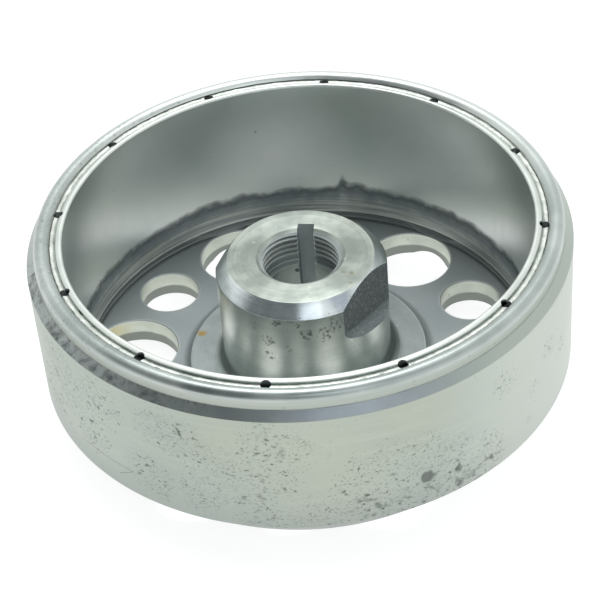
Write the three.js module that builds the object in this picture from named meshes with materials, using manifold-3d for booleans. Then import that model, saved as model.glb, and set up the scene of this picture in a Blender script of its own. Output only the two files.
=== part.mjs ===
// Magneto flywheel of a small petrol engine, standing on its back with the open side up.
//
// Millimetres, +Z along the spin axis towards the open side, z = 0 on the back face of the
// hub, and the keyway of the shaft bore on the +Y side. Every piece is a closed solid in
// its own named mesh.

import * as THREE from "three";
import * as BufferGeometryUtils from "three/addons/utils/BufferGeometryUtils.js";
import Module from "manifold-3d";

const wasm = await Module();
wasm.setup();

// ---------------------------------------------------------------- driving dimensions

const TURN_SEGMENTS = 72;          // facets round a turned surface
const FIT_GAP = 0.12;              // clearance between pieces that sit tight on the real part

// Cup: a steel wall, a web pierced by two sets of holes, and a rim rolled in over the magnets.
const CUP_RADIUS = 65;
const WALL_FOOT_Z = 14;            // where the ground outer wall meets the rear chamfer
const WALL_TOP_Z = 46.3;           // where it meets the front chamfer
const NECK_RADIUS = 62.9;
const NECK_FOOT_Z = 48;
const BEAD_RADIUS = 1.95;
const BEAD_Z = 50.15;
const BEAD_END_ANGLE = 153;        // degrees round the bead from its outside to its inner edge
const CAVITY_RADIUS = 60.8;        // bore of the wall behind the magnets
const SEAT_OUTER_RADIUS = 57.1;
const SEAT_INNER_RADIUS = 55.75;
const SEAT_Z = 10.9;
const CAVITY_FOOT_Z = 15.3;        // where the sloping seat meets the bore of the wall
const WEB_TOP_Z = 8.5;
const WEB_EDGE_RADIUS = 55.5;
const REAR_PAD_RADIUS = 33;
const REAR_EDGE_RADIUS = 54;
const REAR_EDGE_Z = 1.7;

const HOLES_PER_SET = 6;
const LARGE_HOLE = { radius: 10.95, pitch: 44.4, firstAngle: 0 };
const SMALL_HOLE = { radius: 7.5, pitch: 45.2, firstAngle: 30 };

// Hub: a flanged boss with a chamfered nose, two wrench flats and the shaft bore.
const FLANGE_RADIUS = 29;
const FLANGE_TOP_Z = 9.85;
const FLANGE_FILLET = 2.8;
const HUB_RADIUS = 20.75;
const HUB_FILLET = 2.8;
const HUB_TOP_Z = 40;
const HUB_NOSE_RADIUS = 17.7;
const HUB_SHOULDER_Z = 37;
const FLAT_DISTANCE = 18;          // from the axis to each wrench flat, 36 mm across the pair
const FLAT_FOOT_Z = 28.1;
const FLAT_RUNOUT = 2.3;
const FLAT_FOOT_SLOPE = -10;       // degrees that the foot of a flat is tipped along its length
const FLAT_ANGLE = -25;            // direction the first flat faces, the second is opposite
const COUNTERSINK_RADIUS = 10.8;
const THREAD_RADIUS = 9.3;         // plain bore at the crests of the M20 x 1.5 puller thread
const COUNTERSINK_FOOT_Z = 38.7;
const THREAD_FOOT_Z = 33;
const RELIEF_RADIUS = 10.1;
const BORE_TOP_Z = 30.8;
const BORE_TOP_RADIUS = 8.3;
const BORE_FOOT_RADIUS = 10.25;
const KEYWAY_WIDTH = 4;
const KEYWAY_FLOOR_RADIUS = 12.36;

// Magnets, the bars between them, and the rings and sleeve that hold them in.
const MAGNET_COUNT = 12;
const MAGNET_INNER_RADIUS = 57;
const MAGNET_OUTER_RADIUS = 60.5;
const MAGNET_FOOT_Z = 16.2;
const MAGNET_TOP_Z = 49.2;
const MAGNET_ANGLE = 26;
const SPACER_ANGLE = 3.2;
const SEAT_RING_TOP_Z = 16;
const RETAINER_INNER_RADIUS = 57.6;
const RETAINER_TOP_Z = 50.9;
const RETAINER_FOOT_Z = 49.4;
const NOTCH_RADIUS = 1.2;
const NOTCH_PITCH = 58.1;
const COVER_RADIUS = 55.9;         // working bore of the magnet cover
const COVER_THICKNESS = 0.6;
const COVER_TOP_Z = 51.4;
const COVER_LIP_RADIUS = 0.7;
const SEALANT_TOP_Z = 18;
const SEALANT_THICKNESS = 0.45;

// ---------------------------------------------------------------- shape helpers

const radians = THREE.MathUtils.degToRad;

// Points on an arc of a cross-section, angles in degrees from the outward direction.
function arc(centreR, centreZ, radius, fromAngle, toAngle, steps) {
  const points = [];
  for (let i = 0; i <= steps; i += 1) {
    const angle = radians(fromAngle + ((toAngle - fromAngle) * i) / steps);
    points.push([centreR + radius * Math.cos(angle), centreZ + radius * Math.sin(angle)]);
  }
  return points;
}

// A ring turned about Z from a closed cross-section of [radius, z] points, listed
// anticlockwise: outwards along the foot, up the outside, and back down the inside.
function turned(section) {
  const points = [...section, section[0]].map(([r, z]) => new THREE.Vector2(r, z));
  const geometry = new THREE.LatheGeometry(points, TURN_SEGMENTS);
  return geometry.rotateX(Math.PI / 2);
}

// A closed outline in the XY plane pushed up from one height to another.
function prism(outline, footZ, topZ) {
  const shape = new THREE.Shape(outline.map(([x, y]) => new THREE.Vector2(x, y)));
  const geometry = new THREE.ExtrudeGeometry(shape, { depth: topZ - footZ, bevelEnabled: false });
  return geometry.translate(0, 0, footZ);
}

// A round drill of the given radius standing on the pitch circle at an angle in degrees.
function drill(radius, pitch, angle, footZ, topZ, segments) {
  const geometry = new THREE.CylinderGeometry(radius, radius, topZ - footZ, segments);
  geometry.rotateX(Math.PI / 2);
  const a = radians(angle);
  return geometry.translate(pitch * Math.cos(a), pitch * Math.sin(a), (footZ + topZ) / 2);
}

// Outline of a piece of ring, centred on an angle in degrees.
function ringSector(innerRadius, outerRadius, centreAngle, spanAngle, steps) {
  const from = centreAngle - spanAngle / 2;
  const to = centreAngle + spanAngle / 2;
  return [
    ...arc(0, 0, outerRadius, from, to, steps),
    ...arc(0, 0, innerRadius, to, from, steps),
  ];
}

// ---------------------------------------------------------------- cutting

function toManifold(geometry) {
  const plain = geometry.clone();
  plain.deleteAttribute("normal");
  plain.deleteAttribute("uv");
  const merged = BufferGeometryUtils.mergeVertices(plain, 1e-4);
  const mesh = new wasm.Mesh({
    numProp: 3,
    vertProperties: new Float32Array(merged.attributes.position.array),
    triVerts: new Uint32Array(merged.index.array),
  });
  return new wasm.Manifold(mesh);
}

function toGeometry(manifold) {
  const mesh = manifold.getMesh();
  const geometry = new THREE.BufferGeometry();
  geometry.setAttribute("position", new THREE.BufferAttribute(mesh.vertProperties, 3));
  geometry.setIndex(new THREE.BufferAttribute(mesh.triVerts, 1));
  geometry.computeVertexNormals();
  return geometry;
}

function cut(blank, cutters) {
  let solid = toManifold(blank);
  for (const cutter of cutters) {
    solid = solid.subtract(toManifold(cutter));
  }
  return toGeometry(solid);
}

// ---------------------------------------------------------------- materials

function metal(color, roughness) {
  return new THREE.MeshStandardMaterial({ color, roughness, metalness: 1 });
}

const groundSteel = () => metal(0xb2bcb0, 0.4);
const forgedSteel = () => metal(0xa9b2ac, 0.45);
const stainlessSheet = () => metal(0x9aa39c, 0.25);
const platedSteel = () => metal(0xc0c8c0, 0.35);
const ferrite = () => new THREE.MeshStandardMaterial({ color: 0x3c4042, roughness: 0.7, metalness: 0.1 });
const nylon = () => new THREE.MeshStandardMaterial({ color: 0x2c2e30, roughness: 0.6, metalness: 0 });
const sealant = () => new THREE.MeshStandardMaterial({ color: 0x4b5558, roughness: 0.5, metalness: 0 });

// ---------------------------------------------------------------- pieces

function holeDrills(set) {
  const drills = [];
  for (let i = 0; i < HOLES_PER_SET; i += 1) {
    const angle = set.firstAngle + (360 / HOLES_PER_SET) * i;
    drills.push(drill(set.radius, set.pitch, angle, -2, WEB_TOP_Z + 2, 36));
  }
  return drills;
}

function rotorCup() {
  const hubBore = FLANGE_RADIUS + FIT_GAP;
  const beadCentre = NECK_RADIUS - BEAD_RADIUS;
  const flangeRise = Math.asin(1 - (FLANGE_TOP_Z - WEB_TOP_Z) / FLANGE_FILLET);
  const filletEnd = 180 + THREE.MathUtils.radToDeg(flangeRise);
  const section = [
    [hubBore, 0],
    [REAR_PAD_RADIUS, 0],
    [REAR_EDGE_RADIUS, REAR_EDGE_Z],
    [CUP_RADIUS, WALL_FOOT_Z],
    [CUP_RADIUS, WALL_TOP_Z],
    [NECK_RADIUS, NECK_FOOT_Z],
    ...arc(beadCentre, BEAD_Z, BEAD_RADIUS, 0, BEAD_END_ANGLE, 8),
    [CAVITY_RADIUS, RETAINER_TOP_Z + FIT_GAP],
    [CAVITY_RADIUS, CAVITY_FOOT_Z],
    [SEAT_OUTER_RADIUS, SEAT_Z],
    [SEAT_INNER_RADIUS, SEAT_Z],
    [WEB_EDGE_RADIUS, WEB_TOP_Z],
    ...arc(hubBore + FLANGE_FILLET, WEB_TOP_Z + FLANGE_FILLET, FLANGE_FILLET, 270, filletEnd, 4),
    [hubBore, FLANGE_TOP_Z],
  ];
  return cut(turned(section), [...holeDrills(LARGE_HOLE), ...holeDrills(SMALL_HOLE)]);
}

// The cutter for one wrench flat: its end view is drawn outwards from the flat, and its
// lower corner is the rounded runout of the tool, which was held at a slight slope.
function flatCutter(angle) {
  const runoutSweep = 100;
  const clearance = 5;
  const reach = HUB_RADIUS + 3;
  const endView = [
    [reach, HUB_TOP_Z + clearance],
    [FLAT_DISTANCE, HUB_TOP_Z + clearance],
    ...arc(FLAT_DISTANCE + FLAT_RUNOUT, FLAT_FOOT_Z, FLAT_RUNOUT, 180, 180 + runoutSweep, 5),
    [reach, FLAT_FOOT_Z - FLAT_RUNOUT],
  ];
  const length = 2 * HUB_RADIUS;
  const geometry = prism(endView, -length / 2, length / 2);
  geometry.rotateX(Math.PI / 2);
  geometry.translate(0, 0, -FLAT_FOOT_Z);
  geometry.rotateX(radians(FLAT_FOOT_SLOPE));
  geometry.translate(0, 0, FLAT_FOOT_Z);
  return geometry.rotateZ(radians(angle));
}

function hub() {
  const section = [
    [BORE_FOOT_RADIUS, 0],
    [FLANGE_RADIUS, 0],
    [FLANGE_RADIUS, FLANGE_TOP_Z],
    ...arc(HUB_RADIUS + HUB_FILLET, FLANGE_TOP_Z + HUB_FILLET, HUB_FILLET, 270, 180, 4),
    [HUB_RADIUS, HUB_SHOULDER_Z],
    [HUB_NOSE_RADIUS, HUB_TOP_Z],
    [COUNTERSINK_RADIUS, HUB_TOP_Z],
    [THREAD_RADIUS, COUNTERSINK_FOOT_Z],
    [THREAD_RADIUS, THREAD_FOOT_Z],
    [RELIEF_RADIUS, THREAD_FOOT_Z - 0.6],
    [RELIEF_RADIUS, BORE_TOP_Z],
    [BORE_TOP_RADIUS, BORE_TOP_Z],
  ];
  const keyway = new THREE.BoxGeometry(KEYWAY_WIDTH, KEYWAY_FLOOR_RADIUS, HUB_TOP_Z + 4);
  keyway.translate(0, KEYWAY_FLOOR_RADIUS / 2, HUB_TOP_Z / 2);
  return cut(turned(section), [keyway, flatCutter(FLAT_ANGLE), flatCutter(FLAT_ANGLE + 180)]);
}

function magnet(angle) {
  const outline = ringSector(MAGNET_INNER_RADIUS, MAGNET_OUTER_RADIUS, angle, MAGNET_ANGLE, 6);
  return prism(outline, MAGNET_FOOT_Z, MAGNET_TOP_Z);
}

function magnetSpacer(angle) {
  const outline = ringSector(MAGNET_INNER_RADIUS, MAGNET_OUTER_RADIUS, angle, SPACER_ANGLE, 1);
  return prism(outline, MAGNET_FOOT_Z, MAGNET_TOP_Z);
}

function seatRing() {
  const slope = (CAVITY_FOOT_Z - SEAT_Z) / (CAVITY_RADIUS - SEAT_OUTER_RADIUS);
  const inner = MAGNET_INNER_RADIUS;
  const outer = CAVITY_RADIUS - 2 * FIT_GAP;
  const lift = 2 * FIT_GAP;
  const slopeZ = (r) => SEAT_Z + lift + slope * Math.max(0, r - SEAT_OUTER_RADIUS);
  return turned([
    [inner, slopeZ(inner)],
    [SEAT_OUTER_RADIUS, slopeZ(SEAT_OUTER_RADIUS)],
    [outer, slopeZ(outer)],
    [outer, SEAT_RING_TOP_Z],
    [inner, SEAT_RING_TOP_Z],
  ]);
}

function retainingRing() {
  const outer = CAVITY_RADIUS - 2 * FIT_GAP;
  const blank = turned([
    [RETAINER_INNER_RADIUS, RETAINER_FOOT_Z],
    [outer, RETAINER_FOOT_Z],
    [outer, RETAINER_TOP_Z],
    [RETAINER_INNER_RADIUS, RETAINER_TOP_Z],
  ]);
  const notches = [];
  for (let i = 0; i < MAGNET_COUNT; i += 1) {
    const angle = (360 / MAGNET_COUNT) * i;
    notches.push(drill(NOTCH_RADIUS, NOTCH_PITCH, angle, RETAINER_FOOT_Z - 1, RETAINER_TOP_Z + 1, 12));
  }
  return cut(blank, notches);
}

function magnetCover() {
  const outer = COVER_RADIUS + COVER_THICKNESS;
  const lipR = COVER_RADIUS + COVER_LIP_RADIUS;
  const lipZ = COVER_TOP_Z - COVER_LIP_RADIUS;
  const lipEnd = RETAINER_INNER_RADIUS - 2 * FIT_GAP;
  const footZ = SEAT_Z + FIT_GAP;
  return turned([
    [COVER_RADIUS, footZ],
    [outer, footZ],
    [outer, lipZ],
    [lipR, COVER_TOP_Z - COVER_THICKNESS],
    [lipEnd, COVER_TOP_Z - COVER_THICKNESS],
    [lipEnd, COVER_TOP_Z],
    ...arc(lipR, lipZ, COVER_LIP_RADIUS, 90, 180, 4),
  ]);
}

function sealantBead() {
  const outer = COVER_RADIUS - FIT_GAP;
  const inner = outer - SEALANT_THICKNESS;
  return turned([
    [inner, SEAT_Z + FIT_GAP],
    [outer, SEAT_Z + FIT_GAP],
    [outer, SEALANT_TOP_Z],
    [inner + 0.2, SEALANT_TOP_Z],
  ]);
}

// ---------------------------------------------------------------- assembly

const flywheel = new THREE.Group();
flywheel.name = "magneto_flywheel";

function addPiece(name, geometry, material) {
  const mesh = new THREE.Mesh(geometry, material);
  mesh.name = name;
  flywheel.add(mesh);
}

addPiece("rotor_cup", rotorCup(), groundSteel());
addPiece("hub", hub(), forgedSteel());
addPiece("magnet_cover", magnetCover(), stainlessSheet());
addPiece("retaining_ring", retainingRing(), platedSteel());
addPiece("magnet_seat_ring", seatRing(), nylon());
addPiece("sealant_bead", sealantBead(), sealant());

for (let i = 0; i < MAGNET_COUNT; i += 1) {
  const step = 360 / MAGNET_COUNT;
  const number = String(i + 1).padStart(2, "0");
  addPiece(`magnet_${number}`, magnet(step * (i + 0.5)), ferrite());
  addPiece(`magnet_spacer_${number}`, magnetSpacer(step * i), nylon());
}

export default flywheel;
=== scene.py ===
"""Looks of a small engine's magneto flywheel: ground, turned and rolled steel that has seen use.

The flywheel stands on its back with the open side up. Metres, +Z along the spin axis, and
the keyway on the +Y side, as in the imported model.
"""

import math
from functools import cached_property

import bmesh
import bpy
from mathutils import Matrix, Vector, noise


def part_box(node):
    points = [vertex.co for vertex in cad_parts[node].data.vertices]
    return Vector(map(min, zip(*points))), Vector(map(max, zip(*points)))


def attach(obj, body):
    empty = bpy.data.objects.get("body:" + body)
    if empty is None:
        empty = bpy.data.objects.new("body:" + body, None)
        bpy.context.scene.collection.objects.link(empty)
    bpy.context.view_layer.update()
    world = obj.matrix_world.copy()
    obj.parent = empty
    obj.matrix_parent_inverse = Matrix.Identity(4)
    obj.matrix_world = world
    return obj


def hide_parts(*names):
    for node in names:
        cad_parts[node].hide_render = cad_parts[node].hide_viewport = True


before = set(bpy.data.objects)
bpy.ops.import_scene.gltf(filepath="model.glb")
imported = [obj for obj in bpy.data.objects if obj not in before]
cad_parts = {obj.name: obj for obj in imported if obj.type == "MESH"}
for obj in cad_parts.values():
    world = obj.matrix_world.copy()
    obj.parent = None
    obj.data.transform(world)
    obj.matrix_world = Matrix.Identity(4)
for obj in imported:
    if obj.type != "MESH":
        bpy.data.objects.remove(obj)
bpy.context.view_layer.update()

# ---------------------------------------------------------------- sizes

MM = 0.001

cup_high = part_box("rotor_cup")[1]
hub_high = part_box("hub")[1]
cover_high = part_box("magnet_cover")[1]
ring_low, ring_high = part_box("retaining_ring")
sealant_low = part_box("sealant_bead")[0]

CUP_RADIUS = cup_high[0]
CUP_TOP = cup_high[2]
WALL_FOOT = 14 * MM                 # where the ground wall meets the rear chamfer
WALL_TOP = 46.3 * MM                # where it meets the front chamfer
NECK_RADIUS = CUP_RADIUS - 2.1 * MM
NECK_FOOT = WALL_TOP + 1.7 * MM
BEAD_RADIUS = 1.95 * MM
BEAD_END_ANGLE = 153
BEAD_MIDDLE = CUP_TOP - BEAD_RADIUS
CAVITY_RADIUS = CUP_RADIUS - 4.2 * MM
CAVITY_FOOT = 15.3 * MM             # below here the cavity narrows to the magnets' seat
SEAT_LEVEL = 10.9 * MM
SEAT_RADIUS = 57.1 * MM
STEP_RADIUS = 55.75 * MM            # the small step between the seat and the web
STEP_FOOT = 9.5 * MM
WEB_TOP = 8.5 * MM
WEB_EDGE = 55.5 * MM
REAR_PAD_RADIUS = 33 * MM
REAR_EDGE_RADIUS = 54 * MM
REAR_EDGE = 1.7 * MM

HOLE_SETS = (
    {"radius": 10.95 * MM, "pitch": 44.4 * MM, "first_angle": 0},
    {"radius": 7.5 * MM, "pitch": 45.2 * MM, "first_angle": 30},
)
HOLES_PER_SET = 6
HOLE_EDGE_BREAK = 0.3 * MM

FLANGE_RADIUS = hub_high[0]
FLANGE_TOP = 9.85 * MM
FLANGE_FILLET = 2.8 * MM
JOINT_GAP = 0.01 * MM
HUB_RADIUS = 20.75 * MM
HUB_TOP = hub_high[2]
HUB_CHAMFER = 3 * MM
HUB_FILLET = 2.8 * MM
FLAT_DISTANCE = 18 * MM
FLAT_FOOT = 28.1 * MM
FLAT_RUNOUT = 2.3 * MM
FLAT_FOOT_SLOPE = -10
FLAT_ANGLES = (-25, 155)
FLAT_END_ANGLE = 285                # where the runout's arc leaves the hub, in degrees
COUNTERSINK_RADIUS = 10.8 * MM
COUNTERSINK_DEPTH = 1.2 * MM
THREAD_MINOR_RADIUS = 9.2 * MM
THREAD_MAJOR_RADIUS = 10 * MM
THREAD_PITCH = 1.5 * MM
THREAD_FOOT = 33 * MM
THREAD_TURNS = 5.8
RELIEF_RADIUS = 10.1 * MM
BORE_TOP = 30.8 * MM
BORE_TOP_RADIUS = 8.3 * MM
BORE_FOOT_RADIUS = 10.25 * MM
KEYWAY_WIDTH = 4 * MM
KEYWAY_FLOOR = 12.36 * MM

COVER_BORE = 55.9 * MM
COVER_THICKNESS = 0.6 * MM
COVER_LIP = 0.7 * MM
COVER_TOP = cover_high[2]
RETAINER_BORE = 57.6 * MM
# The worn top of the retaining ring: radius, and drop below its highest line, in mm.
RETAINER_CROWN = (
    (59.5, 0.05), (59.15, 0.2), (58.85, 0.02), (58.6, 0), (58.25, 0.04), (57.95, 0.13),
)
NOTCH_RADIUS = 1.2 * MM
NOTCH_PITCH = 58.1 * MM
NOTCH_COUNT = 12
SEALANT_MEAN_TOP = 19.8 * MM
# How far the resin stands in from the sleeve, in mm, at a share of its height.
SEALANT_FACE = ((0.05, 0.92), (0.14, 0.8), (0.26, 0.6), (0.24, 0.42), (0.38, 0.25), (0.36, 0.12))
SPIKE_ANGLE = math.radians(86.5)     # where one drip of resin was wiped up the wall

CUP_STEPS = 360                     # facets round the cup and its rings
HUB_STEPS = 240

# ---------------------------------------------------------------- mesh helpers


def arc(centre_r, centre_z, radius, start, end, steps):
    """Section points on an arc, angles in degrees from the outward direction."""
    points = []
    for i in range(steps + 1):
        angle = math.radians(start + (end - start) * i / steps)
        points.append((centre_r + radius * math.cos(angle), centre_z + radius * math.sin(angle)))
    return points


def softened(corners, steps=3):
    """Turns (r, z, radius) corners into a section whose corners are rounded to that radius."""
    points = []
    count = len(corners)
    for i, corner in enumerate(corners):
        here = Vector(corner[:2])
        radius = corner[2] if len(corner) > 2 else 0
        if not radius:
            points.append(tuple(here))
            continue
        before = (Vector(corners[i - 1][:2]) - here).normalized()
        after = (Vector(corners[(i + 1) % count][:2]) - here).normalized()
        half = before.angle(after) / 2
        setback = radius / math.tan(half)
        centre = here + (before + after).normalized() * (radius / math.sin(half))
        first = here + before * setback - centre
        last = here + after * setback - centre
        for k in range(steps + 1):
            spoke = first.lerp(last, k / steps)
            points.append(tuple(centre + spoke.normalized() * radius))
    return points


def outline(points, closed=True):
    """A new bmesh that holds one line through (r, z) points, and that line's geometry."""
    bm = bmesh.new()
    verts = [bm.verts.new((r, 0, z)) for r, z in points]
    following = verts[1:] + verts[:1] if closed else verts[1:]
    edges = [bm.edges.new(pair) for pair in zip(verts, following)]
    return bm, verts + edges


def revolve(section, steps, closed=True):
    """A section spun once round the axis. One that isn't closed starts and ends on the axis."""
    bm, line = outline(section, closed)
    bmesh.ops.spin(
        bm, geom=line, cent=(0, 0, 0), axis=(0, 0, 1), dvec=(0, 0, 0),
        angle=math.tau, steps=steps, use_merge=True, use_duplicate=False,
    )
    if not closed:
        bmesh.ops.remove_doubles(bm, verts=bm.verts, dist=1e-7)
    bmesh.ops.recalc_face_normals(bm, faces=bm.faces)
    return bm


def as_object(bm, name):
    """Links a bmesh into the scene as a new object."""
    mesh = bpy.data.meshes.new(name)
    bm.to_mesh(mesh)
    bm.free()
    piece = bpy.data.objects.new(name, mesh)
    bpy.context.scene.collection.objects.link(piece)
    return piece


def angles_round(count, first=0):
    """Angles in degrees, evenly spaced round the axis."""
    return [first + 360 / count * i for i in range(count)]


def copied_round(cutter, angles):
    """One bmesh turned to each of the angles, in degrees, about the axis, as a single mesh."""
    whole = bmesh.new()
    for angle in angles:
        turned = cutter.copy()
        turn = Matrix.Rotation(math.radians(angle), 4, "Z")
        bmesh.ops.transform(turned, matrix=turn, verts=turned.verts)
        part = bpy.data.meshes.new("cutter_part")
        turned.to_mesh(part)
        turned.free()
        whole.from_mesh(part)
        bpy.data.meshes.remove(part)
    cutter.free()
    return whole


def subtract(piece, cutter_bm):
    """Cuts the cutter out of the piece and keeps the result as the piece's own mesh."""
    cutter = as_object(cutter_bm, "cutter")
    cut = piece.modifiers.new("cut", "BOOLEAN")
    cut.operation = "DIFFERENCE"
    cut.solver = "EXACT"
    cut.object = cutter
    depsgraph = bpy.context.evaluated_depsgraph_get()
    mesh = bpy.data.meshes.new_from_object(piece.evaluated_get(depsgraph))
    piece.modifiers.remove(cut)
    old = piece.data
    piece.data = mesh
    bpy.data.meshes.remove(old)
    bpy.data.objects.remove(cutter)


def drill(radius, pitch, foot, top, edge_break, steps):
    """A drill standing on the pitch circle, flared where it passes the foot and top faces."""
    reach = 3 * MM
    section = [
        (0, foot - reach),
        (radius + edge_break + reach, foot - reach),
        (radius, foot + edge_break),
        (radius, top - edge_break),
        (radius + edge_break + reach, top + reach),
        (0, top + reach),
    ]
    bm = revolve(section, steps, closed=False)
    bmesh.ops.translate(bm, vec=(pitch, 0, 0), verts=bm.verts)
    return bm


def finish_piece(piece, name, nodes, materials, zone=None, sharp_angle=28):
    """Names and shades a piece, gives each face its material, and ties it to the frame."""
    piece.name = name
    piece.data.name = name
    piece.data.materials.clear()
    for material in materials:
        piece.data.materials.append(material)
    for face in piece.data.polygons:
        face.material_index = zone(face) if zone else 0
    piece.data.shade_smooth()
    piece.data.set_sharp_from_angle(angle=math.radians(sharp_angle))
    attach(piece, "root")
    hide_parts(*nodes)


def push_out(vert, distance):
    """Moves a vertex straight out from the axis."""
    r = math.hypot(vert.co.x, vert.co.y)
    vert.co.x *= (r + distance) / r
    vert.co.y *= (r + distance) / r


def wander(angle, seed, frequency):
    """A smooth value between about -1 and 1 that closes on itself round the axis."""
    spot = Vector((math.cos(angle) * frequency, math.sin(angle) * frequency, seed))
    return noise.noise(spot)


# ---------------------------------------------------------------- node helpers


class Nodes:
    """A node tree, with short ways to add the sums, masks and mixes that finishes need."""

    def __init__(self, tree):
        self.tree = tree

    def feed(self, socket, value):
        """Links a socket, or sets its value. A colour may leave out its alpha."""
        if isinstance(value, bpy.types.NodeSocket):
            self.tree.links.new(value, socket)
        elif socket.type == "RGBA" and len(value) == 3:
            socket.default_value = (*value, 1)
        else:
            socket.default_value = value

    def add(self, kind, inputs=None, **settings):
        """Adds a node with its settings, and feeds its inputs by name or number."""
        node = self.tree.nodes.new(kind)
        for key, value in settings.items():
            setattr(node, key, value)
        for key, value in (inputs or {}).items():
            self.feed(node.inputs[key], value)
        return node

    @cached_property
    def point(self):
        """The shaded point in the flywheel's own coordinates."""
        return self.add("ShaderNodeTexCoord").outputs["Object"]

    @cached_property
    def split(self):
        """The shaded point's three coordinates."""
        return self.add("ShaderNodeSeparateXYZ", {0: self.point}).outputs

    @property
    def x(self):
        return self.split["X"]

    @property
    def y(self):
        return self.split["Y"]

    @property
    def z(self):
        return self.split["Z"]

    @cached_property
    def radius(self):
        """How far the shaded point is from the spin axis."""
        return self.length(self.x, self.y)

    def maths(self, operation, *values, clamp=False):
        """One sum on plain values."""
        return self.add("ShaderNodeMath", dict(enumerate(values)), operation=operation,
                        use_clamp=clamp).outputs[0]

    def plus(self, a, b):
        return self.maths("ADD", a, b)

    def minus(self, a, b, clamp=False):
        return self.maths("SUBTRACT", a, b, clamp=clamp)

    def times(self, a, b):
        return self.maths("MULTIPLY", a, b)

    def over(self, a, b, clamp=False):
        return self.maths("DIVIDE", a, b, clamp=clamp)

    def length(self, a, b):
        """The length of a flat vector."""
        return self.maths("SQRT", self.plus(self.times(a, a), self.times(b, b)))

    def most(self, *masks):
        """The greatest of several masks."""
        result = masks[0]
        for mask in masks[1:]:
            result = self.maths("MAXIMUM", result, mask)
        return result

    def between(self, value, start, end):
        """0 at start and 1 at end, smooth between. The start may be the higher of the two."""
        return self.add("ShaderNodeMapRange", {"Value": value, "From Min": start, "From Max": end},
                        interpolation_type="SMOOTHSTEP").outputs["Result"]

    def mix(self, factor, low, high):
        """Mixes two plain values."""
        return self.add("ShaderNodeMix", {0: factor, 2: low, 3: high},
                        data_type="FLOAT").outputs[0]

    def blend(self, factor, low, high):
        """Mixes two colours."""
        return self.add("ShaderNodeMix", {0: factor, 6: low, 7: high},
                        data_type="RGBA").outputs[2]

    def vector(self, operation, a, b, output=0):
        """A sum on two vectors. Scaling takes its second value from the fourth socket."""
        second = 3 if operation == "SCALE" else 1
        return self.add("ShaderNodeVectorMath", {0: a, second: b},
                        operation=operation).outputs[output]

    def joined(self, x, y, z=0.0):
        """Three plain values as one vector."""
        return self.add("ShaderNodeCombineXYZ", {0: x, 1: y, 2: z}).outputs[0]

    def noise(self, place, scale, detail, roughness=0.5, output="Fac"):
        return self.add("ShaderNodeTexNoise", {"Vector": place, "Scale": scale, "Detail": detail,
                                               "Roughness": roughness}).outputs[output]

    def use(self, group, **inputs):
        """Places a node group and returns its mask. Underscores stand for spaces."""
        node = self.add("ShaderNodeGroup", node_tree=group)
        for key, value in inputs.items():
            self.feed(node.inputs[key.replace("_", " ")], value)
        return node.outputs[0]

    def tool_lines(self, per_metre, drift):
        """Turning or grinding marks round the axis."""
        return self.use(TOOL_LINES, Lines_Per_Metre=per_metre, Drift=drift)

    def flecks(self, scale, amount, softness, squash=1.0, seed=0.0):
        """Small ragged spots, finer as the scale rises."""
        return self.use(FLECKS, Scale=scale, Amount=amount, Softness=softness,
                        Squash=squash, Seed=seed)

    def clouds(self, scale, contrast):
        """Slow changes of tone."""
        return self.use(CLOUDS, Scale=scale, Contrast=contrast)

    def ragged_point(self, scale=420.0, amount=0.002):
        """The shaded point, pushed about a little so that blobs drawn round it are ragged."""
        push = self.noise(self.point, scale, 3.0, output="Color")
        centred = self.vector("SUBTRACT", push, (0.5, 0.5, 0.5))
        return self.vector("ADD", self.point, self.vector("SCALE", centred, amount))

    def worn_area(self, point, spots, radius=CUP_RADIUS):
        """The greatest of several blobs, each an angle in degrees, a height and a reach in mm."""
        masks = []
        for angle, height, reach in spots:
            a = math.radians(angle)
            centre = (radius * math.cos(a), radius * math.sin(a), height * MM)
            masks.append(self.use(PATCH, Point=point, Centre=centre, Reach=reach * MM))
        return self.most(*masks)

    def streaks(self, stretch, detail):
        """Noise stretched by its own scale along each axis."""
        return self.noise(self.vector("MULTIPLY", self.point, stretch), 1.0, detail)


class Finish(Nodes):
    """A material being made: a base colour, coats laid over it, then its surface."""

    def __init__(self, name, metallic=1.0):
        self.material = bpy.data.materials.new(name)
        self.material.use_nodes = True
        super().__init__(self.material.node_tree)
        self.shader = self.tree.nodes["Principled BSDF"]
        self.shader.inputs["Metallic"].default_value = metallic
        self.colour = None

    def base(self, mask, low, high):
        self.colour = self.blend(mask, low, high)

    def coat(self, mask, colour, share=1.0):
        """Lays a colour over what is there, up to the given share, where the mask is."""
        if share != 1.0:
            mask = self.times(mask, share)
        self.colour = self.blend(mask, self.colour, colour)

    def surface(self, roughness, height=None, depth=0.1 * MM, strength=1.0):
        """Finishes the material, with a bump of the given depth where there is a height."""
        self.feed(self.shader.inputs["Base Color"], self.colour)
        self.feed(self.shader.inputs["Roughness"], roughness)
        if height is not None:
            bump = self.add("ShaderNodeBump", {"Height": height, "Distance": depth,
                                               "Strength": strength})
            self.feed(self.shader.inputs["Normal"], bump.outputs["Normal"])
        return self.material

    def brush_round(self, amount):
        """Spreads the gloss across tool marks that run round the axis."""
        ring = self.add("ShaderNodeTangent", direction_type="RADIAL", axis="Z")
        self.feed(self.shader.inputs["Tangent"], ring.outputs["Tangent"])
        self.shader.inputs["Anisotropic"].default_value = amount
        self.shader.inputs["Anisotropic Rotation"].default_value = 0.25


# ---------------------------------------------------------------- shared effects


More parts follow.
